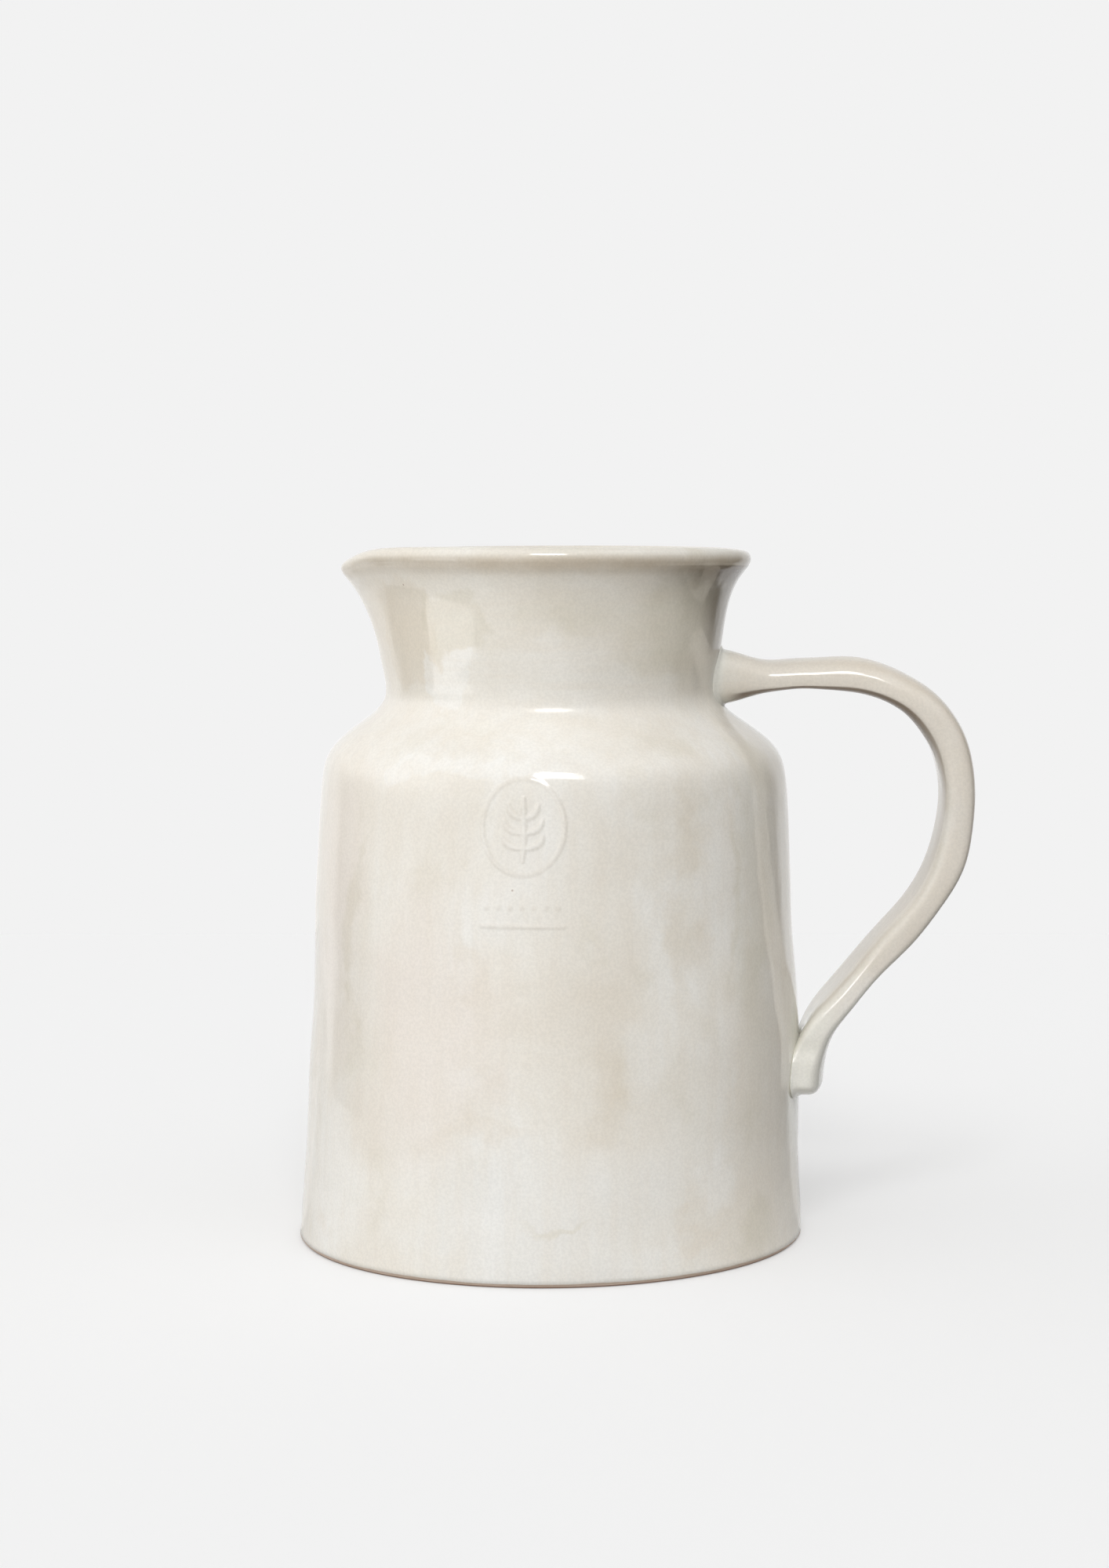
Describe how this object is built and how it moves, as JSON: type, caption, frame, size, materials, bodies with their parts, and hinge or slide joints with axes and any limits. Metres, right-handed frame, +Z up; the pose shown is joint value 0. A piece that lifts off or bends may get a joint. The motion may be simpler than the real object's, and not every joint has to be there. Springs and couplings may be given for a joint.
{
  "type": "ceramic pitcher",
  "caption": "Hand-built glazed stoneware pitcher with a drum body, turned-in shoulder, flared neck with a pulled spout, and a looped strap handle for pouring.",
  "frame": {"origin": "centre of the flat underside that the pitcher stands on", "axes": "+Z up along the vessel, +X towards the handle, -X towards the spout, +Y to the side"},
  "size_m": [0.2006, 0.15, 0.2062],
  "materials": {
    "glaze": "glossy off-white brushed glaze",
    "bare_clay": "matte unglazed stoneware"
  },
  "bodies": {
    "root": {"base_slab": "bare_clay", "body_wall": "glaze", "neck_collar": "glaze", "upper_handle_root": "glaze", "handle_strap": "glaze", "lower_handle_tail": "glaze"}
  },
  "joints": []
}
